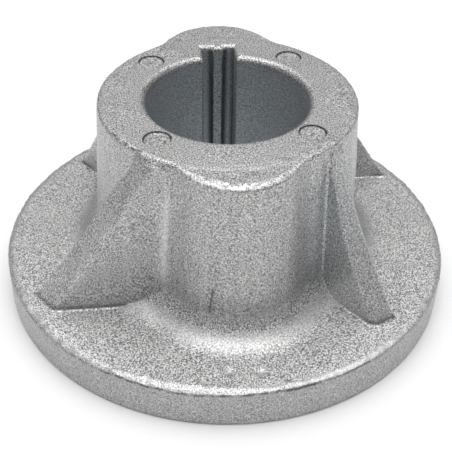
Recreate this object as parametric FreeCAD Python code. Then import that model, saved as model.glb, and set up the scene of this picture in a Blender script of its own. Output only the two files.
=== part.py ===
import FreeCAD, Part
import math
import os

# Mower blade adapter: one aluminium die casting that holds a cutting blade on an engine crankshaft.
# The bore axis is Z, the blade seats against the plane Z = 0 and the keyway points along +Y.
# Lengths are in millimetres and angles in degrees.

overall_height = 29.0
wall_draft = 3.5

# Flange, the round plate that the blade lies against
flange_diameter = 64.0
flange_thickness = 6.0
rim_ease = 0.9
seat_edge_break = 0.4
parting_land = 0.3
parting_step = 0.15

# Hub with a lobe behind the keyway and a slightly shorter one on the opposite side
hub_diameter = 35.0
hub_top_ease = 0.8
hub_foot_radius = 2.2
lobe_diameter = 16.6
key_lobe_offset = 13.5
plain_lobe_offset = 12.6
lobe_drop = 0.25

# Bore for the crankshaft and the slot for its key, with a relief rib along the slot's floor
bore_diameter = 22.2
bore_edge_break = 0.4
key_width = 4.76
key_depth = 3.3
key_rib_width = 1.6
key_rib_height = 0.5

# Four fins brace the hub: one pair runs alongside it, the other leans across the flange.
# A fin's crest slopes from the hub's top edge down to the flange near the rim.
# The slant fins start steeper, down to a knee close to the hub.
fin_thickness = 3.6
fin_draft = 0.8
fin_edge_radius = 0.8
fin_foot_depth = 1.0
fin_rim_margin = 2.8
side_fin_angle = 180.0
side_fin_offset = 13.6
side_fin_skew = 36.0
slant_fin_angle = 308.0
front_slant_offset = 2.05
back_slant_offset = 3.3
slant_fin_skew = 0.0
slant_head_gap = 0.35
slant_knee_gap = 2.2
slant_knee_drop = 7.8

# Marks left by the die: four ejector pins on the hub's top and two small dimples near the rim
ejector_diameter = 3.5
ejector_depth = 0.25
ejector_count = 4
dimple_diameter = 1.7
dimple_depth = 0.35
dimple_spacing = 3.9
dimple_inset = 3.6

# An eased edge is two flats that touch the round they stand for at its middle
ease_share = 1 - math.cos(math.pi / 4)

# Overlap that keeps a joined form from only touching its neighbour
seam_overlap = 0.02

flange_radius = flange_diameter / 2
hub_radius = hub_diameter / 2
bore_radius = bore_diameter / 2
key_floor = bore_radius + key_depth
wall_slope = math.tan(math.radians(wall_draft))
fin_slope = math.tan(math.radians(fin_draft))
crest_reach = flange_radius - fin_rim_margin
crest_top = overall_height - hub_top_ease
axis_z = FreeCAD.Vector(0, 0, 1)


def at(radius, height):
    """Point of a turned profile, in the plane that holds the turning axis."""
    return FreeCAD.Vector(radius, 0, height)


def line(start, end):
    return Part.makeLine(start, end)


def arc_about(centre, radius, start, end):
    """Arc of a profile between two angles, measured from the outward direction to upwards."""
    def spot(angle):
        return centre + at(radius * math.cos(angle), radius * math.sin(angle))
    return Part.Arc(spot(start), spot((start + end) / 2), spot(end)).toShape()


def chain(points):
    """Straight edges that join a list of profile points in turn."""
    return [line(start, end) for start, end in zip(points, points[1:])]


def turned(edges):
    """Solid swept by a closed profile once round the Z axis."""
    return Part.Face(Part.Wire(edges)).revolve(FreeCAD.Vector(), axis_z, 360)


def prism(points, sweep):
    """Solid swept by a closed polygon along a straight line."""
    return Part.Face(Part.makePolygon(points + points[:1])).extrude(sweep)


def first_point(edge):
    return edge.valueAt(edge.FirstParameter)


def last_point(edge):
    return edge.valueAt(edge.LastParameter)


def post_edges(radius, top, foot):
    """Outline of a drafted post from its axis at the top, over its eased edge, down to its hollow foot."""
    lean = math.radians(wall_draft)
    ease_step = hub_top_ease * ease_share
    foot_height = foot + hub_foot_radius
    foot_wall = radius + (top - foot_height) * wall_slope
    foot_centre = at(foot_wall + hub_foot_radius / math.cos(lean), foot_height)
    foot_arc = arc_about(foot_centre, hub_foot_radius, math.pi + lean, 1.5 * math.pi)
    edges = chain([
        at(0, top),
        at(radius - hub_top_ease, top),
        at(radius - ease_step, top - ease_step),
        at(radius + hub_top_ease * wall_slope, top - hub_top_ease),
        first_point(foot_arc),
    ])
    return edges + [foot_arc]


def hub_and_flange():
    """Turned body: hub, foot, flange face, eased rim, parting step, flange side and blade seat."""
    edges = post_edges(hub_radius, overall_height, flange_thickness)
    face_radius = flange_radius - parting_step
    rim_step = rim_ease * ease_share
    parting_height = flange_thickness - rim_ease - parting_land
    edges += chain([
        last_point(edges[-1]),
        at(face_radius - rim_ease, flange_thickness),
        at(face_radius - rim_step, flange_thickness - rim_step),
        at(face_radius, flange_thickness - rim_ease),
        at(face_radius, parting_height),
        at(flange_radius, parting_height),
        at(flange_radius, seat_edge_break),
        at(flange_radius - seat_edge_break, 0),
        at(0, 0),
        at(0, overall_height),
    ])
    return turned(edges)


def lobe(offset):
    """Post that thickens the hub wall, at a distance along the keyway's direction."""
    top = overall_height - lobe_drop
    edges = post_edges(lobe_diameter / 2, top, flange_thickness - seam_overlap)
    skirt = last_point(edges[-1])
    floor = flange_thickness / 2
    edges += chain([skirt, at(skirt.x, floor), at(0, floor), at(0, top)])
    post = turned(edges)
    post.translate(FreeCAD.Vector(0, offset, 0))
    return post


def under_slope(upper, lower):
    """Wedge below the sloping plane through two points of a crest, across the whole flange."""
    fall = (lower.x - upper.x) / (upper.z - lower.z)
    low = flange_thickness - fin_foot_depth
    corners = [
        at(-flange_radius, low),
        at(lower.x + (lower.z - low) * fall, low),
        at(upper.x + (upper.z - crest_top) * fall, crest_top),
        at(-flange_radius, crest_top),
    ]
    wedge = prism(corners, FreeCAD.Vector(0, flange_diameter, 0))
    wedge.translate(FreeCAD.Vector(0, -flange_radius, 0))
    return wedge


def fin(angle, offset, skew, upper, lower):
    """Drafted wall beside the bore axis, cut by one slope of its crest and rounded along it."""
    low = flange_thickness - fin_foot_depth
    low_half = fin_thickness / 2 + fin_foot_depth * fin_slope
    high_half = fin_thickness / 2 - (crest_top - flange_thickness) * fin_slope
    corners = [(-low_half, low), (low_half, low), (high_half, crest_top), (-high_half, crest_top)]
    section = [FreeCAD.Vector(0, offset + across, height) for across, height in corners]
    wall = prism(section, FreeCAD.Vector(flange_radius, 0, 0))
    wedge = under_slope(upper, lower)
    wedge.rotate(FreeCAD.Vector(), axis_z, skew)
    blank = wall.common(wedge).Solids[0]
    sloping = []
    for edge in blank.Edges:
        box = edge.BoundBox
        if min(box.XLength, box.ZLength) > seam_overlap:
            sloping.append(edge)
    brace = blank.makeFillet(min(fin_edge_radius, 0.85 * high_half), sloping)
    brace.rotate(FreeCAD.Vector(), axis_z, angle)
    return brace


def bore():
    """Through hole with a small bevel at both ends."""
    reach = overall_height + bore_edge_break
    wide = bore_radius + 2 * bore_edge_break
    return turned(chain([
        at(0, reach),
        at(0, -bore_edge_break),
        at(wide, -bore_edge_break),
        at(bore_radius, bore_edge_break),
        at(bore_radius, overall_height - bore_edge_break),
        at(wide, reach),
        at(0, reach),
    ]))


def keyway():
    """Slot for the key, from the bore axis out to its floor, less the rib that stands on the floor."""
    half = key_width / 2
    rib_half = key_rib_width / 2
    rib_top = key_floor - key_rib_height
    outline = [
        (-half, 0),
        (-half, key_floor),
        (-rib_half, key_floor),
        (-rib_half, rib_top),
        (rib_half, rib_top),
        (rib_half, key_floor),
        (half, key_floor),
        (half, 0),
    ]
    section = [FreeCAD.Vector(x, y, -1) for x, y in outline]
    return prism(section, FreeCAD.Vector(0, 0, overall_height + 2))


def ejector_marks():
    """Shallow round sinks midway across the hub wall, evenly spaced and clear of the keyway."""
    circle = (bore_radius + hub_radius) / 2
    step = 2 * math.pi / ejector_count
    marks = []
    for index in range(ejector_count):
        angle = step * (index + 0.5)
        centre = FreeCAD.Vector(circle * math.cos(angle), circle * math.sin(angle), overall_height - ejector_depth)
        marks.append(Part.makeCylinder(ejector_diameter / 2, 2 * ejector_depth, centre))
    return marks


def dimples():
    """Two small pointed hollows in the flange face, side by side near the rim."""
    reach = flange_radius - dimple_inset
    marks = []
    for side in (-1, 1):
        tip = FreeCAD.Vector(side * dimple_spacing / 2, -reach, flange_thickness - dimple_depth)
        marks.append(Part.makeCone(0, dimple_diameter, 2 * dimple_depth, tip))
    return marks


def blade_adapter():
    """The whole casting: turned body, lobes and fins joined, then everything that is hollow taken out."""
    foot = at(crest_reach, flange_thickness)
    knee = at(hub_radius + slant_knee_gap, overall_height - slant_knee_drop)
    head = at(hub_radius + slant_head_gap, crest_top)
    additions = [lobe(key_lobe_offset), lobe(-plain_lobe_offset)]
    for turn, slant_offset in ((0, front_slant_offset), (180, back_slant_offset)):
        additions.append(fin(side_fin_angle + turn, side_fin_offset, side_fin_skew, at(hub_radius, crest_top), foot))
        additions.append(fin(slant_fin_angle + turn, slant_offset, slant_fin_skew, knee, foot))
        additions.append(fin(slant_fin_angle + turn, slant_offset, slant_fin_skew, head, knee))
    body = hub_and_flange().fuse(additions)
    hollows = [bore(), keyway()] + ejector_marks() + dimples()
    return body.cut(hollows).removeSplitter().Solids[0]


os.makedirs("parts", exist_ok=True)
casting = blade_adapter()
casting.exportStep("parts/blade_adapter.step")
print("blade_adapter", "valid", casting.isValid(), "volume", round(casting.Volume, 1), "faces", len(casting.Faces))
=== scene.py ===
import math
import bmesh
import bpy
import numpy as np
from mathutils import Matrix, Vector


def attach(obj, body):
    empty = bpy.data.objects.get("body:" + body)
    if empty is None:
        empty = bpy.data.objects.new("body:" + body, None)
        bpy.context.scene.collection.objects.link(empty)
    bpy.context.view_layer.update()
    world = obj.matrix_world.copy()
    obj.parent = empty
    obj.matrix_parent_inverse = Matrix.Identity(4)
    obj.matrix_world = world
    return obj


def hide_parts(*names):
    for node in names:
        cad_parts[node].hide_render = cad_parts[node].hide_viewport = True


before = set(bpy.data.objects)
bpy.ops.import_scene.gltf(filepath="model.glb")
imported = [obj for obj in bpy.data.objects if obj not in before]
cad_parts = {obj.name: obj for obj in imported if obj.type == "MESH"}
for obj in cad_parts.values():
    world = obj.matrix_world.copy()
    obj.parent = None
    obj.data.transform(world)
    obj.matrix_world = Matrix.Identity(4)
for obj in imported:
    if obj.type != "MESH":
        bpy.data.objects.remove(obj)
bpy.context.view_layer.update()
scene = bpy.context.scene
mm = 0.001


def hexToLinear(code):
    # sRGB hex to linear: the low part is a straight line, the rest a 2.4 power
    parts = [int(code[i:i + 2], 16) / 255 for i in (1, 3, 5)]
    return [c / 12.92 if c <= 0.04045 else ((c + 0.055) / 1.055) ** 2.4 for c in parts] + [1.0]


def addNode(tree, kind, settings=None, inputs=None, links=None):
    # settings are node properties, inputs are socket values, links give each input its source socket;
    # a colour Mix has its factor at 0, its two colours at 6 and 7, and its result at output 2
    node = tree.nodes.new(kind)
    for name, value in (settings or {}).items():
        setattr(node, name, value)
    for name, value in (inputs or {}).items():
        node.inputs[name].default_value = value
    for name, source in (links or {}).items():
        tree.links.new(source, node.inputs[name])
    return node


def newMaterial(name):
    material = bpy.data.materials.new(name)
    material.use_nodes = True
    material.node_tree.nodes.clear()
    return material


# The casting's form in millimetres: the CAD solid's sizes, with the softer edges and hollows of the real one.
# A span says where a change along a length starts and ends.
form = {
    "height": 29.0,
    "draftDeg": 3.5,
    # flange: how far its rim's round drops at each turn about the axis, small waves on that, and the trimmed line
    "flangeRadius": 32.0,
    "flangeTop": 6.0,
    "rimTurn": (-180, -134, -121, -114, -107, -100, -94, -88, -81, -66, -48, -20, 20, 70, 120, 180),
    "rimDrop": (0.45, 0.58, 0.36, 0.44, 0.56, 0.5, 0.42, 0.35, 0.28, 0.32, 0.4, 0.4, 0.5, 0.4, 0.5, 0.45),
    "rimWaves": ((0.05, 31, 1), (0.03, 67, 2), (0.02, 113, 0)),
    "rimArcDeg": 42.0,
    "cutEdge": 0.08,
    "trimBelow": 0.08,
    "trimDepth": 0.1,
    "trimWidth": 0.1,
    "seatRound": 0.45,
    # hub and lobes: the drop of the top edge's round at each turn, and the hollow foot
    "hubRadius": 17.5,
    "topTurn": (-180, -135, -118, -105, -75, -60, -20, 20, 90, 180),
    "topDrop": (0.25, 0.28, 0.26, 0.2, 0.2, 0.13, 0.13, 0.22, 0.25, 0.25),
    "edgeArcDeg": 48.0,
    "footRise": 3.5,
    "footReach": 6.0,
    "lobeRadius": 8.3,
    "lobeY": (13.5, -12.6),
    "lobeDrop": 0.05,
    "lobeDropSpan": (-0.7, 0.0),
    "lobeTopDrop": 0.47,
    "lobeSpan": (16.0, 19.0),
    "lobeCorner": 0.9,
    "footCorner": 2.4,
    # bore and keyway
    "boreRadius": 11.1,
    "boreRound": 0.45,
    "boreTopRound": 0.85,
    "slotTopRound": 0.65,
    "slotYSpan": (11.3, 12.6),
    "slotXSpan": (3.0, 5.0),
    "keyHalf": 2.38,
    "keyFloor": 14.4,
    "keyRibHalf": 0.8,
    "keyRibTop": 13.9,
    "holeMargin": 0.1,
    "holeTopSpan": (-1.0, -0.5),
    # fins: foot, knee and head of a crest are (distance from the axis, height)
    "finHalf": 1.8,
    "finDraftDeg": 0.8,
    "finFoot": 0.4,
    "finHeadRound": 0.5,
    "sideFoot": (29.2, 6.0),
    "sideHead": (17.5, 28.2),
    "slantFoot": (28.8, 6.0),
    "slantKnee": (19.7, 21.2),
    "slantHead": (17.6, 28.2),
    "kneeBlend": 2.0,
    "headTurn": 0.12,
    "headTurnSpan": (8.0, 24.0),
    "headTaper": 0.6,
    "headTaperSpan": (17.0, 24.0),
    # marks of the die and of trimming
    "pinX": 9.85,
    "pinY": (10.4, -9.7),
    "pinRadius": 1.75,
    "pinDepth": 0.28,
    "pinRound": 0.05,
    "dimples": ((-2.27, -28.4), (1.66, -28.75)),
    "dimpleRadius": 0.8,
    "dimpleDepth": 0.2,
    "dimpleRound": 0.12,
    "flashTurn": (-152, -133),
    "flashRadius": 17.25,
    "scratch": ((-3.75, 13.4), (-4.2, 9.6)),
    "scratchBack": -15.0,
    "arcRadius": (16.3, 16.85, 17.35),
}

# Each fin: turn in degrees, distance of its middle from the bore axis, skew of its crest in degrees, knee or no knee,
# radius along its crest's edges, radius in its corner with the hub
sideFin = {"offset": 13.6, "skew": 36.0, "kneed": False, "edge": 0.6, "corner": 0.8}
slantFin = {"skew": -14.0, "kneed": True, "edge": 0.85, "corner": 0.45}
sideFins = [{"turn": turn, **sideFin} for turn in (180.0, 0.0)]
slantFins = [{"turn": turn, "offset": offset, **slantFin} for turn, offset in ((308.0, 2.05), (128.0, 3.3))]
fins = sideFins + slantFins


def roundMin(a, b, radius):
    # union of two fields with a circular hollow of that radius in the corner between them
    reach = np.hypot(np.maximum(radius - a, 0), np.maximum(radius - b, 0))
    return np.maximum(radius, np.minimum(a, b)) - reach


def roundMax(a, b, radius):
    # overlap of two fields with a circular round of that radius on the edge between them
    reach = np.hypot(np.maximum(radius + a, 0), np.maximum(radius + b, 0))
    return np.minimum(-radius, np.maximum(a, b)) + reach


def cutRound(plain, side, top, drop, arcDeg, cutEdge):
    # edge that starts as a round from the top and, after part of a quarter turn, is cut off by the side
    arc = math.radians(arcDeg)
    radius = drop / (1 - math.cos(arc))
    return roundMax(roundMax(plain - radius * (1 - math.sin(arc)), top, radius), side, cutEdge)


def bell(value, width):
    # 1 at zero, falling off to both sides as a bell curve
    return np.exp(-(value / width) ** 2)


def ease(value, start, end):
    # 0 before start, 1 after end, a cubic between them
    t = np.clip((value - start) / (end - start), 0, 1)
    return t * t * (3 - 2 * t)


def band(value, start, full, fade, end):
    # 0 before start, 1 from full to fade, 0 again after end
    return ease(value, start, full) * (1 - ease(value, fade, end))


def ripple(points, wave, seed, count=24, lengths=(0.7, 1.4), gain=0.6):
    # sum of plane waves with seeded directions, lengths near the given one and phases, about -1 to 1
    rng = np.random.default_rng(seed)
    aim = rng.normal(size=(count, 3))
    aim *= (2 * np.pi / (wave * rng.uniform(*lengths, count)) / np.linalg.norm(aim, axis=1))[:, None]
    phase = rng.uniform(0, 2 * np.pi, count)
    return np.sin(points @ aim.T + phase).sum(axis=1) * math.sqrt(2 / count) * gain


def crestField(along, z, low, high):
    # distance from the sloping plane through two (along, height) points, positive above it
    slope = (low[0] - high[0]) / (high[1] - low[1])
    return (along - low[0] + (z - low[1]) * slope) / math.hypot(1, slope)


def kneedCrest(f, out, z):
    # lower of the slopes below and above the knee, blended into each other by a square
    lower = crestField(out, z, f["slantFoot"], f["slantKnee"])
    upper = crestField(out, z, f["slantKnee"], f["slantHead"])
    mix = np.clip(0.5 + (upper - lower) / (2 * f["kneeBlend"]), 0, 1)
    return upper * (1 - mix) + lower * mix - f["kneeBlend"] * mix * (1 - mix)


def finField(f, p, fin):
    # drafted slab beside the bore axis, under its crest and above the flange's middle
    z = p[:, 2]
    a = math.radians(fin["turn"])
    skew = math.radians(fin["skew"])
    along = p[:, 0] * math.cos(a) + p[:, 1] * math.sin(a)
    across = p[:, 1] * math.cos(a) - p[:, 0] * math.sin(a)
    aside = across - fin["offset"]
    draft = math.tan(math.radians(f["finDraftDeg"]))
    slab = np.abs(aside) - f["finHalf"] + (z - f["flangeTop"]) * draft
    edge = fin["edge"]
    if fin["kneed"]:
        # skewed at the foot, the crest turns with the hub's wall towards its head, where its edges are sharper
        turned = f["headTurn"] - math.tan(skew)
        out = along + aside * (math.tan(skew) + turned * ease(z, *f["headTurnSpan"]))
        crest = kneedCrest(f, out, z)
        edge = edge * (1 - f["headTaper"] * ease(z, *f["headTaperSpan"]))
    else:
        out = along * math.cos(skew) + across * math.sin(skew)
        crest = crestField(out, z, f["sideFoot"], f["sideHead"])
    body = roundMax(slab, crest, edge)
    body = roundMax(body, z - f["sideHead"][1], f["finHeadRound"])
    return np.maximum(body, np.maximum(-along, f["flangeTop"] / 2 - z))


def nearFin(f, p, group):
    # distance from the nearest fin of a group
    return np.min([finField(f, p, fin) for fin in group], axis=0)


def turnDeg(p):
    return np.degrees(np.arctan2(p[:, 1], p[:, 0]))


def trimHeight(f, p):
    # how far the rim's round drops before the side cuts it off, and the height of the trimmed flash there
    turn = np.arctan2(p[:, 1], p[:, 0])
    drop = np.interp(np.degrees(turn), f["rimTurn"], f["rimDrop"])
    drop = drop + sum(size * np.sin(count * turn + phase) for size, count, phase in f["rimWaves"])
    return drop, f["flangeTop"] - drop - f["trimBelow"]


def pinField(f, p):
    # distance from the edge of the nearest of the four pin marks, seen from above
    away = np.minimum(np.abs(p[:, 1] - f["pinY"][0]), np.abs(p[:, 1] - f["pinY"][1]))
    return np.hypot(np.abs(p[:, 0]) - f["pinX"], away) - f["pinRadius"]


def dimpleField(f, p):
    # distance from the axis of the nearer of the two dimples
    return np.minimum(*[np.hypot(p[:, 0] - x, p[:, 1] - y) for x, y in f["dimples"]])


def postField(f, p, radius, y):
    # drafted round post about an upright axis at that distance along Y
    a = math.radians(f["draftDeg"])
    return (np.hypot(p[:, 0], p[:, 1] - y) - radius) * math.cos(a) - (f["height"] - p[:, 2]) * math.sin(a)


def lobeField(f, p):
    return np.minimum(*[postField(f, p, f["lobeRadius"], y) for y in f["lobeY"]])


def stemField(f, p):
    # distance from the hub or a lobe, whichever is nearer
    return np.minimum(postField(f, p, f["hubRadius"], 0), lobeField(f, p))


def hubField(f, p):
    # hub and lobes with their upright corners, which widen towards the foot, and their cut top edge
    x, y, z = p.T
    wall = postField(f, p, f["hubRadius"], 0)
    corner = f["lobeCorner"] + f["footCorner"] * (1 - ease(z - f["flangeTop"], 0, f["footRise"]))
    for lobeY in f["lobeY"]:
        wall = roundMin(wall, postField(f, p, f["lobeRadius"], lobeY), corner)
    top = z - f["height"] + f["lobeDrop"] * ease(np.hypot(x, y) - f["hubRadius"], *f["lobeDropSpan"])
    drop = np.interp(turnDeg(p), f["topTurn"], f["topDrop"])
    drop = drop + (f["lobeTopDrop"] - drop) * ease(np.abs(y), *f["lobeSpan"])
    return cutRound(wall, wall, top, drop, f["edgeArcDeg"], f["cutEdge"])


def plateField(f, p):
    # flange with its cut rim and a fine groove along the trimmed line
    z = p[:, 2]
    drop, trim = trimHeight(f, p)
    side = np.hypot(p[:, 0], p[:, 1]) - f["flangeRadius"]
    grooved = side + f["trimDepth"] * bell(z - trim, f["trimWidth"])
    return cutRound(side, grooved, z - f["flangeTop"], drop, f["rimArcDeg"], f["cutEdge"])


def castingField(f, p):
    # distance field of the whole casting, negative inside, zero on the skin
    x, y, z = p.T
    stem = hubField(f, p)
    plate = plateField(f, p)
    # the hollow foot reaches further out than up, so the stem's distance is shortened in that ratio
    body = roundMin(stem * (f["footRise"] / f["footReach"]), plate, f["footRise"])
    for fin in fins:
        brace = finField(f, p, fin)
        joined = np.minimum(roundMin(stem, brace, fin["corner"]), roundMin(plate, brace, f["finFoot"]))
        body = np.minimum(body, joined)
    body = roundMax(body, -z, f["seatRound"])
    slot = np.maximum(np.abs(x) - f["keyHalf"], np.maximum(y - f["keyFloor"], -y))
    rib = np.maximum(np.abs(x) - f["keyRibHalf"], f["keyRibTop"] - y)
    hollow = np.minimum(np.hypot(x, y) - f["boreRadius"], np.maximum(slot, -rib))
    inSlot = ease(y, *f["slotYSpan"]) * (1 - ease(np.abs(x), *f["slotXSpan"]))
    topRound = f["boreTopRound"] + (f["slotTopRound"] - f["boreTopRound"]) * inSlot
    body = roundMax(body, -hollow, np.where(z > f["height"] / 2, topRound, f["boreRound"]))
    sink = np.maximum(pinField(f, p), f["height"] - f["pinDepth"] - z)
    body = roundMax(body, -sink, f["pinRound"])
    ball = (f["dimpleRadius"] ** 2 + f["dimpleDepth"] ** 2) / (2 * f["dimpleDepth"])
    lift = f["flangeTop"] + ball - f["dimpleDepth"]
    dimple = np.hypot(dimpleField(f, p), z - lift) - ball
    return roundMax(body, -dimple, f["dimpleRound"])


# The skin's mesh and its roughness in millimetres; waves are lengths, and below and inset lead to a band's middle
skin = {
    "mergeMm": 0.0005,
    "voxelMm": 0.41,
    "fineCuts": 2,
    "firstRounds": 3,
    "relaxRounds": 6,
    "lastRounds": 4,
    "slopeStep": 0.01,
    "leastSlope": 0.2,
    "mostMove": 0.3,
    "normalStep": 0.03,
    "triangles": 196000,
    "plainMm": 0.02,
    "keptBoreTop": 2.0,
    "thinWeight": 1000.0,
    "swellMm": 0.03,
    "swellWave": 8.0,
    "swellSeed": 3,
    "edgeMm": 0.022,
    "edgeWave": 1.6,
    "edgeSeed": 5,
    "edgeBelow": 0.5,
    "edgeHigh": 0.9,
    "edgeSpan": (14.1, 16.5),
    "rimMm": 0.03,
    "rimWave": 1.3,
    "rimSeed": 7,
    "rimBelow": 0.6,
    "rimHigh": 0.8,
    "rimInset": 0.4,
    "rimWide": 0.9,
    "seatSpan": (0.4, 2.0),
    "boreSpan": (0.0, 1.0),
}


def castRoughness(f, s, p):
    # slow swell of the skin, more at the hub's top edge and along the trimmed rim, none on the seat
    r = np.hypot(p[:, 0], p[:, 1])
    z = p[:, 2]
    swell = s["swellMm"] * ripple(p, s["swellWave"], s["swellSeed"])
    onEdge = bell(z - f["height"] + s["edgeBelow"], s["edgeHigh"]) * ease(r, *s["edgeSpan"])
    edge = s["edgeMm"] * onEdge * ripple(p, s["edgeWave"], s["edgeSeed"])
    onRim = bell(z - f["flangeTop"] + s["rimBelow"], s["rimHigh"])
    onRim = onRim * bell(r - f["flangeRadius"] + s["rimInset"], s["rimWide"])
    rim = s["rimMm"] * onRim * ripple(p, s["rimWave"], s["rimSeed"])
    return (swell + edge + rim) * ease(z, *s["seatSpan"]) * ease(r - f["boreRadius"], *s["boreSpan"])


def skinField(f, s, p, rough):
    return castingField(f, p) + castRoughness(f, s, p) if rough else castingField(f, p)


def skinSlope(f, s, p, rough, h):
    # gradient of the field by central differences
    steps = np.eye(3) * h
    rises = [skinField(f, s, p + a, rough) - skinField(f, s, p - a, rough) for a in steps]
    return np.stack(rises, axis=1) / (2 * h)


def settle(f, s, p, rounds, rough):
    # Newton steps along the field's gradient bring points onto the skin
    for _ in range(rounds):
        value = skinField(f, s, p, rough)
        slope = skinSlope(f, s, p, False, s["slopeStep"])
        size = np.maximum((slope ** 2).sum(axis=1), s["leastSlope"])
        p = p - np.clip(value / size, -s["mostMove"], s["mostMove"])[:, None] * slope
    return p


def nearFlash(f, p, reach, ends):
    # true near the thin flash line at the hub's top edge, and that many degrees past its ends
    turn = turnDeg(p)
    near = np.abs(np.hypot(p[:, 0], p[:, 1]) - f["flashRadius"]) < reach
    return near & (turn > f["flashTurn"][0] - ends) & (turn < f["flashTurn"][1] + ends)


def scratchField(f, p):
    # distance from the straight scratch on the front lobe, seen from the front, large behind it
    start, end = np.array(f["scratch"])
    flat = p[:, (0, 2)]
    share = np.clip((flat - start) @ (end - start) / ((end - start) ** 2).sum(), 0, 1)
    away = np.linalg.norm(flat - start - share[:, None] * (end - start), axis=1)
    return away + f["hubRadius"] * (p[:, 1] > f["scratchBack"])


# How far the finer mesh reaches about each small form, in millimetres
fine = {
    "topDepth": 0.9,
    "pin": 0.5,
    "bore": 0.9,
    "slot": 0.6,
    "slotMouth": 1.0,
    "flash": 0.6,
    "flashEndsDeg": 3.0,
    "scratch": 0.5,
    "dimple": 1.2,
    "dimpleLow": 5.0,
    "rim": 1.3,
    "rimLow": 4.8,
    "lobeEdgeRadius": 16.0,
    "lobeEdgeHalf": 8.0,
    "lobeEdgeY": -13.0,
    "finFoot": 0.6,
}


def fineZone(f, e, p):
    # where the skin needs a finer mesh: pin marks, bore's top edge, flash line, scratch, dimples, front of the rim,
    # front lobe's top edge and fin feet
    x, y, z = p.T
    r = np.hypot(x, y)
    zone = np.abs(pinField(f, p)) < e["pin"]
    zone |= r < f["boreRadius"] + e["bore"]
    inSlot = (y > f["boreRadius"] - e["slotMouth"]) & (y < f["keyFloor"] + e["slot"])
    zone |= inSlot & (np.abs(x) < f["keyHalf"] + e["slot"])
    zone |= nearFlash(f, p, e["flash"], e["flashEndsDeg"])
    zone |= (r > e["lobeEdgeRadius"]) & (np.abs(x) < e["lobeEdgeHalf"]) & (y < e["lobeEdgeY"])
    zone &= z > f["height"] - e["topDepth"]
    zone |= scratchField(f, p) < e["scratch"]
    zone |= (z > e["dimpleLow"]) & (dimpleField(f, p) < e["dimple"])
    zone |= (z > e["rimLow"]) & (r > f["flangeRadius"] - e["rim"]) & (y < 0)
    foot = (np.abs(z - f["flangeTop"]) < e["finFoot"]) & (np.abs(nearFin(f, p, fins)) < e["finFoot"])
    return zone | (foot & (r > f["hubRadius"]))


# Dark lines, most of them painted shade beside the flash line and the scratch: a strength from 0 to 1, then widths and
# places in millimetres, turns in degrees
darks = {
    "breakLevel": 0.55,
    "breakDepth": 0.8,
    "breakWave": 1.1,
    "breakSeed": 11,
    "footWidth": 0.2,
    "footHigh": 0.3,
    "sideFoot": 0.5,
    "sideFootLift": 0.35,
    "sideFootGap": 4.0,
    "sideFootSpan": (14.4, 15.0),
    "sideTip": 0.7,
    "sideTipSpan": (27.0, 28.5),
    "toe": 0.6,
    "toeLift": 0.3,
    "toeSpan": (25.5, 27.5),
    "pin": 0.9,
    "pinWidth": 0.1,
    "pinSpan": (-0.6, -0.4),
    "trim": 0.8,
    "trimWidth": 0.11,
    "trimInset": 0.8,
    "trimBack": 0.15,
    "trimTurn": (-140, -130, -62, -50),
    "notchWidth": 0.12,
    "notchTurn": (-84, -81, -76, -72),
    "flashWidth": 0.12,
    "flashDepth": 0.6,
    "flashFadeDeg": 1.0,
    "flashWander": 0.12,
    "flashWave": 1.7,
    "flashSeed": 13,
    "scratch": 0.75,
    "scratchWidth": 0.14,
    "side": 0.1,
    "sideInset": 0.3,
    "lowWallShade": 0.12,
    "lowWallShadeReach": 0.9,
    "lowWallShadeSpan": (7.6, 8.8, 10.5, 13.0),
    "crease": 0.45,
    "creaseWidth": 0.4,
    "creaseReach": 0.5,
    "creaseSpan": (9.0, 11.0),
    "slot": 0.8,
    "ribGap": 0.3,
    "ribWidth": 0.34,
    "slotEdge": 0.8,
    "slotEdgeInset": 0.2,
    "slotEdgeWidth": 0.25,
    "slotMargin": 0.05,
    "slotReach": 0.4,
    "slotTopSpan": (-0.9, -0.4),
}


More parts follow.
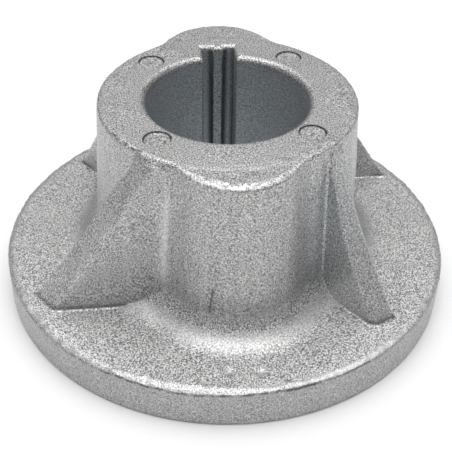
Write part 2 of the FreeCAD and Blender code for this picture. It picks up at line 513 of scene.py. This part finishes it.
def shadeAndDarkMarks(f, d, p):
    # 0 on plain skin, 1 in the dark of a line: each is a bell curve of the distance from it, broken up by ripples; all
    #                                           but the flash line and the scratch are painted shade
    x, y, z = p.T
    r = np.hypot(x, y)
    turn = turnDeg(p)
    lift = z - f["flangeTop"]
    depth = z - f["height"]
    broken = np.clip(d["breakLevel"] + d["breakDepth"] * ripple(p, d["breakWave"], d["breakSeed"]), 0, 1)
    lobe = lobeField(f, p)
    brace = nearFin(f, p, sideFins)

    # painted shade: dark lines along the side fins' feet and towards their tips
    feet = d["sideFoot"] * bell(brace, d["footWidth"]) * bell(lift - d["sideFootLift"], d["footHigh"])
    tips = np.maximum(ease(np.abs(y), *d["sideFootSpan"]), d["sideTip"] * ease(r, *d["sideTipSpan"]))
    feet = feet * tips * (r > f["hubRadius"] + d["sideFootGap"])
    # painted shade along the slant fins' toes
    toes = d["toe"] * bell(nearFin(f, p, slantFins), d["footWidth"]) * bell(lift - d["toeLift"], d["footHigh"])
    toes = toes * ease(r, *d["toeSpan"])
    # painted shade along the edge of each pin mark's recess
    pins = d["pin"] * bell(pinField(f, p), d["pinWidth"]) * ease(depth, *d["pinSpan"])

    # painted shade along the trimmed groove, wider at its notch
    trim = trimHeight(f, p)[1]
    notch = band(turn, *d["notchTurn"])
    trimmed = d["trim"] * bell(z - trim, d["trimWidth"] + d["notchWidth"] * notch)
    trimmed = trimmed * (r > f["flangeRadius"] - d["trimInset"]) * np.maximum(broken, notch)
    trimmed = trimmed * (d["trimBack"] + (1 - d["trimBack"]) * band(turn, *d["trimTurn"]))
    # painted shade over the flange's side below the trimmed line
    side = d["side"] * (r > f["flangeRadius"] - d["sideInset"]) * (z < trim)

    start, end = f["flashTurn"]
    wander = d["flashWander"] * ripple(p, d["flashWave"], d["flashSeed"])
    flash = bell(r - f["flashRadius"] - wander, d["flashWidth"]) * (depth > -d["flashDepth"])
    flash = flash * band(turn, start - d["flashFadeDeg"], start, end - d["flashFadeDeg"], end) * np.sqrt(broken)
    scratch = d["scratch"] * bell(scratchField(f, p), d["scratchWidth"])
    # painted shade on the walls just above the hollow foot
    lowWallShade = d["lowWallShade"] * (np.abs(stemField(f, p)) < d["lowWallShadeReach"]) * band(z, *d["lowWallShadeSpan"])
    # painted shade in the corners between the lobes and the side fins
    crease = d["crease"] * bell(lobe - brace, d["creaseWidth"]) * bell(np.maximum(lobe, brace), d["creaseReach"])
    crease = crease * ease(z, *d["creaseSpan"])

    # painted shade in the keyway's grooves beside its rib and along its edges
    ribSide = np.exp(-((np.abs(x) - f["keyRibHalf"] - d["ribGap"]) / d["ribWidth"]) ** 4)
    edgeSide = d["slotEdge"] * bell(x - f["keyHalf"] + d["slotEdgeInset"], d["slotEdgeWidth"])
    inSlot = (np.abs(x) < f["keyHalf"] + d["slotMargin"]) & (np.abs(y - f["keyFloor"]) < d["slotReach"])
    slot = d["slot"] * np.maximum(ribSide, edgeSide) * inSlot * (1 - ease(depth, *d["slotTopSpan"]))
    return np.max([feet, toes, pins, trimmed, flash, scratch, slot, side, crease, lowWallShade], axis=0)


# Pale lines, mostly painted highlights and painted light: a strength from 0 to 1, then widths and places in
# millimetres, turns in degrees
pales = {
    "strip": 0.5,
    "stripAway": 0.95,
    "stripBulge": 0.4,
    "stripWidth": 0.4,
    "stripSpan": (9.0, 12.0, 23.0, 26.0),
    "stripY": 14.5,
    "spark": 0.5,
    "sparkSpan": (-1.3, -0.6, -0.1, 0.1),
    "sparkTopSpan": (-0.6, -0.4),
    "sparkLevel": 0.1,
    "sparkWave": 0.6,
    "sparkSeed": 17,
    "arc": 0.3,
    "arcWidth": 0.09,
    "arcWander": 0.04,
    "arcWaves": 9,
    "arcDepth": 0.3,
    "arcMiddle": -0.5,
    "arcSpan": (4.0, 8.0),
    "streak": 0.12,
    "streakWaves": (37, 61, 83, 127),
    "streakLevel": 2.5,
    "streakLow": 8.0,
    "streakTop": 1.0,
    "streakInset": 0.5,
    "rim": 0.25,
    "rimSpan": (-0.9, -0.6),
    "rimTopSpan": (-0.35, -0.2),
    "rimTurn": (-82, -78, -62, -44),
    "bore": 0.1,
    "boreReach": 0.3,
    "boreTop": 1.0,
}


def highlightsAndPaleMarks(f, w, p):
    # 0 on plain skin, more on pale lines: a painted highlight beside the corners of lobes and side fins, sparks on the
    #                                      lobes' top edges that are painted highlights and edge wear,
    # thin arcs across the front lobe's top, faint streaks down the walls, a painted highlight on part of the rim and
    # painted light in the bore
    x, y, z = p.T
    r = np.hypot(x, y)
    turn = np.arctan2(y, x)
    depth = z - f["height"]
    lobe = lobeField(f, p)
    # painted highlight beside the corners of lobes and side fins
    strip = w["strip"] * bell(lobe - w["stripAway"], w["stripWidth"])
    strip = strip * bell(nearFin(f, p, sideFins) - w["stripBulge"], w["stripWidth"])
    strip = strip * band(z, *w["stripSpan"]) * (np.abs(y) > w["stripY"])
    # painted highlights and edge wear as sparks on the lobes' top edges
    sparks = w["spark"] * np.clip(w["sparkLevel"] + ripple(p, w["sparkWave"], w["sparkSeed"]), 0, 1)
    sparks = sparks * band(lobe, *w["sparkSpan"]) * ease(depth, *w["sparkTopSpan"]) * (r > f["hubRadius"])
    wander = w["arcWander"] * np.sin(w["arcWaves"] * turn)
    arcs = w["arc"] * np.max([bell(r - radius + wander, w["arcWidth"]) for radius in f["arcRadius"]], axis=0)
    arcs = arcs * (depth > -w["arcDepth"]) * (y < 0) * (1 - ease(np.abs(x - w["arcMiddle"]), *w["arcSpan"]))
    wall = (z > w["streakLow"]) & (depth < -w["streakTop"]) & (r > f["hubRadius"] - w["streakInset"])
    waves = sum(np.sin(count * turn + count) for count in w["streakWaves"])
    streaks = w["streak"] * wall * np.clip(waves / w["streakLevel"], 0, 1)
    # painted highlight on part of the rim's round
    onRim = ease(r - f["flangeRadius"], *w["rimSpan"]) * ease(z - f["flangeTop"], *w["rimTopSpan"])
    rim = w["rim"] * onRim * band(np.degrees(turn), *w["rimTurn"])
    # painted light that lifts the bore's shade
    bore = w["bore"] * (r < f["boreRadius"] + w["boreReach"]) * (depth < -w["boreTop"])
    return np.max([strip, sparks, arcs, streaks, rim, bore], axis=0)


def holeShare(f, p, span):
    # 1 on the walls of the bore and slot, 0 outside them and along their top edge
    x, y, z = p.T
    inside = 1 - ease(np.hypot(x, y) - f["boreRadius"], *span)
    slot = (np.abs(x) < f["keyHalf"] + f["holeMargin"]) & (y > 0) & (y < f["keyFloor"] + f["holeMargin"])
    return np.maximum(inside, slot) * (1 - ease(z - f["height"], *f["holeTopSpan"]))


# Grain: how much of its plain strength each place gains or loses, then places in millimetres
grits = {
    "face": 0.2,
    "faceHigh": 0.5,
    "faceSpan": (3.0, 6.0),
    "front": 0.25,
    "frontSpan": (0.0, 14.0),
    "bend": 0.5,
    "bendReach": 2.5,
    "bendSpan": (7.2, 7.6, 8.3, 9.0),
    "top": 0.25,
    "topSpan": (-0.7, -0.3),
    "side": 0.25,
    "sideSpan": (-0.5, -0.2),
    "hole": 0.3,
    "holeSpan": (0.2, 0.6),
    "foot": 0.45,
    "footSpan": (0.04, 0.2, 1.0, 1.6),
    "footRadius": 28.5,
    "rim": 0.45,
    "rimSpan": (-1.3, -0.9),
    "rimLowSpan": (4.6, 5.2),
    "dimple": 0.6,
    "dimpleSpan": (0.4, 0.8),
}


def gritSize(f, g, p):
    # strength of the blasted grain: coarse on the flange's face, fine on rounded edges, its side and in the bore
    x, y, z = p.T
    r = np.hypot(x, y)
    lift = z - f["flangeTop"]
    onRim = ease(z, *g["rimLowSpan"])
    face = bell(lift, g["faceHigh"]) * ease(r - f["hubRadius"], *g["faceSpan"])
    face = face * (g["face"] + g["front"] * ease(-y, *g["frontSpan"]))
    bend = g["bend"] * (stemField(f, p) < g["bendReach"]) * band(z, *g["bendSpan"])
    top = g["top"] * ease(z - f["height"], *g["topSpan"])
    side = g["side"] * ease(r - f["flangeRadius"], *g["sideSpan"]) * (1 - onRim)
    hole = g["hole"] * holeShare(f, p, g["holeSpan"])
    foot = g["foot"] * band(lift, *g["footSpan"]) * (r < g["footRadius"])
    rim = g["rim"] * ease(r - f["flangeRadius"], *g["rimSpan"]) * onRim
    dimple = g["dimple"] * (1 - ease(dimpleField(f, p), *g["dimpleSpan"]))
    return (1 + face + bend + top - side - hole) * (1 - np.max([foot, rim, dimple], axis=0))


# Cool tint, a painted bluish shade: how much of it the pockets take, and places in millimetres
cools = {
    "holeSpan": (0.1, 0.5),
    "pocket": 0.45,
    "pocketReach": (2.0, 6.0),
    "pocketSpan": (7.0, 10.0, 22.0, 28.0),
}


def paintedCoolShade(f, c, p):
    # painted bluish shade: 0 on open skin, 1 in the bore, about half deep in the pockets between the hub and the slant
    # fins
    pocket = 1 - ease(np.maximum(stemField(f, p), nearFin(f, p, slantFins)), *c["pocketReach"])
    pocket = c["pocket"] * pocket * band(p[:, 2], *c["pocketSpan"])
    return np.maximum(holeShare(f, p, c["holeSpan"]), pocket)


def vertexArray(mesh):
    flat = np.empty(len(mesh.vertices) * 3)
    mesh.vertices.foreach_get("co", flat)
    return flat.reshape(-1, 3)


def modified(mesh, kind, settings, chosen=None):
    # a mesh with one modifier applied, and a vertex group of the chosen points where it needs one
    holder = bpy.data.objects.new("holder", mesh)
    scene.collection.objects.link(holder)
    if chosen is not None:
        holder.vertex_groups.new(name="chosen").add(chosen.tolist(), 1.0, "REPLACE")
    modifier = holder.modifiers.new(kind, kind)
    for name, value in settings.items():
        setattr(modifier, name, value)
    graph = bpy.context.evaluated_depsgraph_get()
    result = bpy.data.meshes.new_from_object(holder.evaluated_get(graph))
    bpy.data.objects.remove(holder)
    return result


def mergedCopy(node, s):
    # the CAD node's mesh in millimetres, with its loose triangles joined
    mesh = node.data.copy()
    mesh.materials.clear()
    mesh.transform(Matrix.Scale(1 / mm, 4))
    bm = bmesh.new()
    bm.from_mesh(mesh)
    bmesh.ops.remove_doubles(bm, verts=bm.verts, dist=s["mergeMm"])
    bm.to_mesh(mesh)
    bm.free()
    return mesh


def refine(mesh, f, cuts):
    # the faces in the fine zone split, each edge by that many cuts
    centres = np.empty(len(mesh.polygons) * 3)
    mesh.polygons.foreach_get("center", centres)
    chosen = np.flatnonzero(fineZone(f, fine, centres.reshape(-1, 3)))
    bm = bmesh.new()
    bm.from_mesh(mesh)
    bm.faces.ensure_lookup_table()
    edges = list({edge for i in chosen for edge in bm.faces[i].edges})
    bmesh.ops.subdivide_edges(bm, edges=edges, cuts=cuts, use_grid_fill=True)
    bm.to_mesh(mesh)
    bm.free()
    print("skin:", len(chosen), "faces split")


def relaxed(mesh, f, s):
    # each point moves halfway to the mean of its neighbours and back onto the skin, a few times over
    points = vertexArray(mesh)
    total = len(points)
    pairs = np.empty(len(mesh.edges) * 2, dtype=np.int32)
    mesh.edges.foreach_get("vertices", pairs)
    start, end = pairs.reshape(-1, 2).T
    count = np.bincount(start, minlength=total) + np.bincount(end, minlength=total)
    for _ in range(s["relaxRounds"]):
        near = [np.bincount(start, points[end, i], total) + np.bincount(end, points[start, i], total)
                for i in range(3)]
        points = settle(f, s, (points + np.stack(near, axis=1) / count[:, None]) / 2, 1, False)
    return settle(f, s, points, s["lastRounds"], True)


def thinned(mesh, f, s):
    # the flat seat and the plain bore give up points until the triangles are few enough
    x, y, z = vertexArray(mesh).T
    mesh.calc_loop_triangles()
    triangles = len(mesh.loop_triangles)
    bore = (np.hypot(x, y) < f["boreRadius"] + s["plainMm"]) & (z < f["height"] - s["keptBoreTop"])
    ratio = min(1.0, s["triangles"] / triangles)
    thin = {"ratio": ratio, "vertex_group": "chosen", "vertex_group_factor": s["thinWeight"]}
    print("skin:", len(z), "points,", triangles, "triangles before thinning")
    return modified(mesh, "DECIMATE", thin, np.flatnonzero(bore | (z < s["plainMm"])))


def castSkin(node, f, s):
    # the CAD solid's own mesh, remeshed evenly, then every point settled on the casting's field
    remesh = {"mode": "VOXEL", "voxel_size": s["voxelMm"], "use_smooth_shade": True}
    mesh = modified(mergedCopy(node, s), "REMESH", remesh)
    mesh.vertices.foreach_set("co", settle(f, s, vertexArray(mesh), s["firstRounds"], False).ravel())
    refine(mesh, f, s["fineCuts"])
    mesh.vertices.foreach_set("co", relaxed(mesh, f, s).ravel())
    mesh.update()
    mesh = thinned(mesh, f, s)
    points = vertexArray(mesh)
    # dark holds painted shade and the real dark marks, pale painted highlights and pale lines, cool a painted bluish
    # shade
    marks = (
        ("dark", shadeAndDarkMarks, darks),
        ("pale", highlightsAndPaleMarks, pales),
        ("cool", paintedCoolShade, cools),
        ("grit", gritSize, grits),
    )
    for name, mark, look in marks:
        values = mark(f, look, points).astype(np.float32)
        mesh.attributes.new(name, "FLOAT", "POINT").data.foreach_set("value", values)
    mesh.transform(Matrix.Scale(mm, 4))
    mesh.name = "castSkin"
    piece = bpy.data.objects.new("cast_skin", mesh)
    scene.collection.objects.link(piece)
    mesh.polygons.foreach_set("use_smooth", np.ones(len(mesh.polygons), dtype=bool))
    normals = skinSlope(f, s, points, True, s["normalStep"])
    mesh.normals_split_custom_set_from_vertices(normals / np.linalg.norm(normals, axis=1)[:, None])
    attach(piece, "root")
    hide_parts("blade_adapter")
    print("skin:", len(mesh.vertices), "points,", len(mesh.polygons), "faces")
    return piece


# The grain is as large as the pits of the blasting, about a fifth of a millimetre
castLook = {
    "light": "#f3f3f2",
    "dark": "#68696a",
    # shade tints the painted cool shade, line darkens the dark marks and the painted shade, and the white one lightens
    # the pale lines and painted highlights
    "shade": "#f1f8fd",
    "line": "#2e3235",
    "paleAndHighlight": "#ffffff",
    "roughness": 0.4,
    "metallic": 0.6,
    "grainMm": 0.18,
    "grainDetail": 2.0,
    "grainRoughness": 0.6,
    "contrast": 3.4,
    "grainBump": 0.05,
}


def dieCastAluminium(look):
    # shot-blasted die-cast aluminium: a matt silver grey skin with a fine sparkle of blast pits,
    # coarser on the flange's face, with dark lines for the flash line and a scratch and painted shade in corners,
    # grooves, recesses and along the groove where flash was trimmed, pale lines that are mostly painted highlights,
    # and a painted cool shade in the bore and pockets
    material = newMaterial("dieCastAluminium")
    tree = material.node_tree
    coords = addNode(tree, "ShaderNodeTexCoord")
    grit, dark, pale, cool = [addNode(tree, "ShaderNodeAttribute", {"attribute_name": name}).outputs["Fac"]
                              for name in ("grit", "dark", "pale", "cool")]
    grain = addNode(tree, "ShaderNodeTexNoise",
                    inputs={"Scale": 1 / (look["grainMm"] * mm), "Detail": look["grainDetail"],
                            "Roughness": look["grainRoughness"]},
                    links={"Vector": coords.outputs["Object"]})
    centred = addNode(tree, "ShaderNodeMath", {"operation": "SUBTRACT"}, {1: 0.5}, {0: grain.outputs["Fac"]})
    gritty = addNode(tree, "ShaderNodeMath", {"operation": "MULTIPLY"}, links={0: centred.outputs["Value"], 1: grit})
    spread = addNode(tree, "ShaderNodeMath", {"operation": "MULTIPLY_ADD", "use_clamp": True},
                     {1: look["contrast"], 2: 0.5}, {0: gritty.outputs["Value"]})
    tone = addNode(tree, "ShaderNodeMix", {"data_type": "RGBA"},
                   {6: hexToLinear(look["dark"]), 7: hexToLinear(look["light"])}, {0: spread.outputs["Value"]})
    # painted bluish shade in the bore and pockets
    shaded = addNode(tree, "ShaderNodeMix", {"data_type": "RGBA", "blend_type": "MULTIPLY"},
                     {7: hexToLinear(look["shade"])}, {0: cool, 6: tone.outputs[2]})
    # pale lines and painted highlights, mixed towards white
    paleAndHighlight = addNode(tree, "ShaderNodeMix", {"data_type": "RGBA"},
                     {7: hexToLinear(look["paleAndHighlight"])}, {0: pale, 6: shaded.outputs[2]})
    # painted shade and the dark marks, mixed towards the line colour
    lined = addNode(tree, "ShaderNodeMix", {"data_type": "RGBA"},
                    {7: hexToLinear(look["line"])}, {0: dark, 6: paleAndHighlight.outputs[2]})
    bump = addNode(tree, "ShaderNodeBump", inputs={"Strength": 1.0, "Distance": look["grainBump"] * mm},
                   links={"Height": gritty.outputs["Value"]})
    shader = addNode(tree, "ShaderNodeBsdfPrincipled",
                     inputs={"Metallic": look["metallic"], "Roughness": look["roughness"]},
                     links={"Base Color": lined.outputs[2], "Normal": bump.outputs["Normal"]})
    addNode(tree, "ShaderNodeOutputMaterial", links={"Surface": shader.outputs["BSDF"]})
    return material


casting = castSkin(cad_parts["blade_adapter"], form, skin)
casting.data.materials.append(dieCastAluminium(castLook))
print("casting: die-cast finish set")

# The floor's size is in metres
studio = {
    "paper": "#fafafa",
    "bounce": "#b0b0b0",
    "paperRoughness": 0.9,
    "floorSize": 40.0,
    "skyTop": 2.4,
    "skyPower": 3.0,
    "sunStrength": 0.45,
    "sunAngleDeg": 30.0,
    "sunFrom": (0.0, 0.0, 1.0),
}


def whitePaper(s):
    # grey card that is white paper to the eye and in reflections, and takes the object's shadow either way
    paper = newMaterial("whitePaper")
    tree = paper.node_tree
    path = addNode(tree, "ShaderNodeLightPath")
    seen = addNode(tree, "ShaderNodeMath", {"operation": "MAXIMUM"},
                   links={0: path.outputs["Is Camera Ray"], 1: path.outputs["Is Glossy Ray"]})
    shown = addNode(tree, "ShaderNodeMath", {"operation": "MAXIMUM"},
                    links={0: seen.outputs["Value"], 1: path.outputs["Is Transmission Ray"]})
    tone = addNode(tree, "ShaderNodeMix", {"data_type": "RGBA"},
                   {6: hexToLinear(s["bounce"]), 7: hexToLinear(s["paper"])}, {0: shown.outputs["Value"]})
    shader = addNode(tree, "ShaderNodeBsdfPrincipled",
                     inputs={"Roughness": s["paperRoughness"], "Specular IOR Level": 0.0},
                     links={"Base Color": tone.outputs[2]})
    addNode(tree, "ShaderNodeOutputMaterial", links={"Surface": shader.outputs["BSDF"]})
    return paper


def layFloor(s):
    half = s["floorSize"] / 2
    corners = [(-half, -half, 0), (half, -half, 0), (half, half, 0), (-half, half, 0)]
    mesh = bpy.data.meshes.new("floor")
    mesh.from_pydata(corners, [], [(0, 1, 2, 3)])
    mesh.materials.append(whitePaper(s))
    floor = bpy.data.objects.new("floor", mesh)
    scene.collection.objects.link(floor)
    print("studio: floor laid")


def lightStudio(s):
    # overhead soft light: the sky's strength is a power of the height of the direction,
    # and a wide key adds to its middle
    world = bpy.data.worlds.new("studio")
    scene.world = world
    world.use_nodes = True
    tree = world.node_tree
    tree.nodes.clear()
    coords = addNode(tree, "ShaderNodeTexCoord")
    parts = addNode(tree, "ShaderNodeSeparateXYZ", links={"Vector": coords.outputs["Generated"]})
    rise = addNode(tree, "ShaderNodeMath", {"operation": "MAXIMUM"}, {1: 0.0}, {0: parts.outputs["Z"]})
    fall = addNode(tree, "ShaderNodeMath", {"operation": "POWER"}, {1: s["skyPower"]}, {0: rise.outputs["Value"]})
    level = addNode(tree, "ShaderNodeMath", {"operation": "MULTIPLY"}, {1: s["skyTop"]}, {0: fall.outputs["Value"]})
    sky = addNode(tree, "ShaderNodeBackground", inputs={"Color": (1, 1, 1, 1)},
                  links={"Strength": level.outputs["Value"]})
    addNode(tree, "ShaderNodeOutputWorld", links={"Surface": sky.outputs["Background"]})

    lamp = bpy.data.lights.new("softKey", "SUN")
    lamp.energy = s["sunStrength"]
    lamp.angle = math.radians(s["sunAngleDeg"])
    key = bpy.data.objects.new("softKey", lamp)
    key.rotation_mode = "QUATERNION"
    key.rotation_quaternion = Vector(s["sunFrom"]).to_track_quat("Z", "Y")
    scene.collection.objects.link(key)
    print("studio: sky and key light in place")


shot = {
    "positionMm": (-11.671, -104.048, 90.041),
    "targetMm": (-0.633, -6.573, 12.0),
    "rollDeg": 1.117,
    "lensMm": 71.283,
    "sensorMm": 36.0,
    "clipStart": 0.005,
    "clipEnd": 60.0,
}


def placeCamera(s):
    data = bpy.data.cameras.new("photoCamera")
    data.lens = s["lensMm"]
    data.sensor_width = s["sensorMm"]
    data.clip_start = s["clipStart"]
    data.clip_end = s["clipEnd"]
    camera = bpy.data.objects.new("photoCamera", data)
    scene.collection.objects.link(camera)
    position = Vector(s["positionMm"]) * mm
    aim = Vector(s["targetMm"]) * mm - position
    turn = aim.to_track_quat("-Z", "Y").to_matrix() @ Matrix.Rotation(math.radians(s["rollDeg"]), 3, "Z")
    camera.matrix_world = Matrix.Translation(position) @ turn.to_4x4()
    scene.camera = camera
    print("camera: set to the photograph's view")


layFloor(studio)
lightStudio(studio)
placeCamera(shot)
scene.view_settings.view_transform = "Standard"
